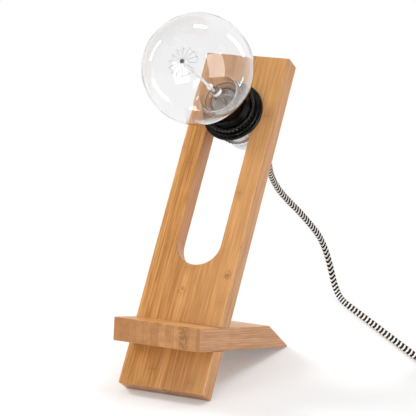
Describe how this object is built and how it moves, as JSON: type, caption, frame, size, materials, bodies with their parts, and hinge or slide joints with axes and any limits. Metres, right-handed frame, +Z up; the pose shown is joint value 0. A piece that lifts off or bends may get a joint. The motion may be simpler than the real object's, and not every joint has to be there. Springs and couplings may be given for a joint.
{
  "type": "bare bulb table lamp",
  "caption": "Table lamp of two crossed bamboo boards: a leaning slotted upright that holds a screw lampholder with a clear globe bulb, and a sloping foot, with a textile cord.",
  "frame": {"origin": "on the table, in the middle of the flat that is planed on the upright board's lower rear edge", "axes": "+Z up, +X across the boards, to the right when the bulb faces the viewer, and -Y towards the bulb's side"},
  "size_m": [0.3698, 0.3597, 0.317],
  "materials": {
    "bamboo": "laminated bamboo, oiled, satin",
    "black_plastic": "black moulded, fine satin",
    "silver_plate": "satin plated",
    "ceramic": "white glazed ceramic",
    "brass": "bright brass",
    "textile": "black and white zigzag braid",
    "wire_sleeve": "insulated wire",
    "solder": "dull solder",
    "clear_glass": "clear and polished",
    "steel": "thin bare wire and small steel",
    "nickel": "bright nickel plate",
    "strap": "black hook and loop strap"
  },
  "bodies": {
    "stand": {"upright_board": "bamboo", "foot_board": "bamboo", "cord_lead": "textile", "cord_mid": "textile", "cord_coil": "textile", "cord_end": "textile", "coil_tie": "strap", "switch_base": "black_plastic", "switch_cover": "black_plastic", "switch_screws": "steel", "switch_contacts": "brass", "rocker_pin": "steel", "plug_body": "black_plastic", "plug_pins": "nickel"},
    "holder": {"holder_sleeve": "black_plastic", "terminal_block": "ceramic", "screw_shell": "brass", "centre_contact": "brass", "terminal_screws": "brass", "dome_cover": "silver_plate", "cable_nipple": "brass", "nipple_nut": "brass", "cord_grip": "black_plastic", "cord_entry": "textile", "holder_wires": "wire_sleeve"},
    "ring": {"shade_ring": "black_plastic"},
    "back_ring": {"rear_ring": "silver_plate"},
    "tip": {"bulb_tip": "solder"},
    "bulb": {"bulb_cap": "brass", "cap_insulator": "black_plastic", "bulb_glass": "clear_glass", "bulb_stem": "clear_glass", "lead_wires": "steel", "filament_supports": "steel", "filament": "steel"},
    "rocker": {"switch_rocker": "black_plastic"}
  },
  "joints": [
    {"name": "holder_slide", "type": "slide", "parent": "stand", "child": "holder", "axis": [0, 0.5736, 0.8192], "range_m": [-0.122, 0]},
    {"name": "ring_turn", "type": "hinge", "parent": "holder", "child": "ring", "pos_m": [0, 0.1321, 0.2188], "axis": [0, -0.8192, 0.5736], "range_deg": [0, 180]},
    {"name": "back_ring_turn", "type": "hinge", "parent": "holder", "child": "back_ring", "pos_m": [0, 0.1321, 0.2188], "axis": [0, 0.8192, -0.5736], "range_deg": [0, 180]},
    {"name": "bulb_travel", "type": "slide", "parent": "holder", "child": "tip", "axis": [0, -0.8192, 0.5736], "range_m": [0, 0.01452]},
    {"name": "bulb_turn", "type": "hinge", "parent": "tip", "child": "bulb", "pos_m": [0, 0.1321, 0.2188], "axis": [0, -0.8192, 0.5736], "range_deg": [0, 1440]},
    {"name": "rocker_press", "type": "hinge", "parent": "stand", "child": "rocker", "pos_m": [0.2, 0.135, 0.0128], "axis": [0.7071, 0.7071, 0], "range_deg": [0, 14]}
  ],
  "couplings": [
    {"joint": "bulb_travel", "follows": "bulb_turn", "m_per_rad": 0.0005776}
  ]
}
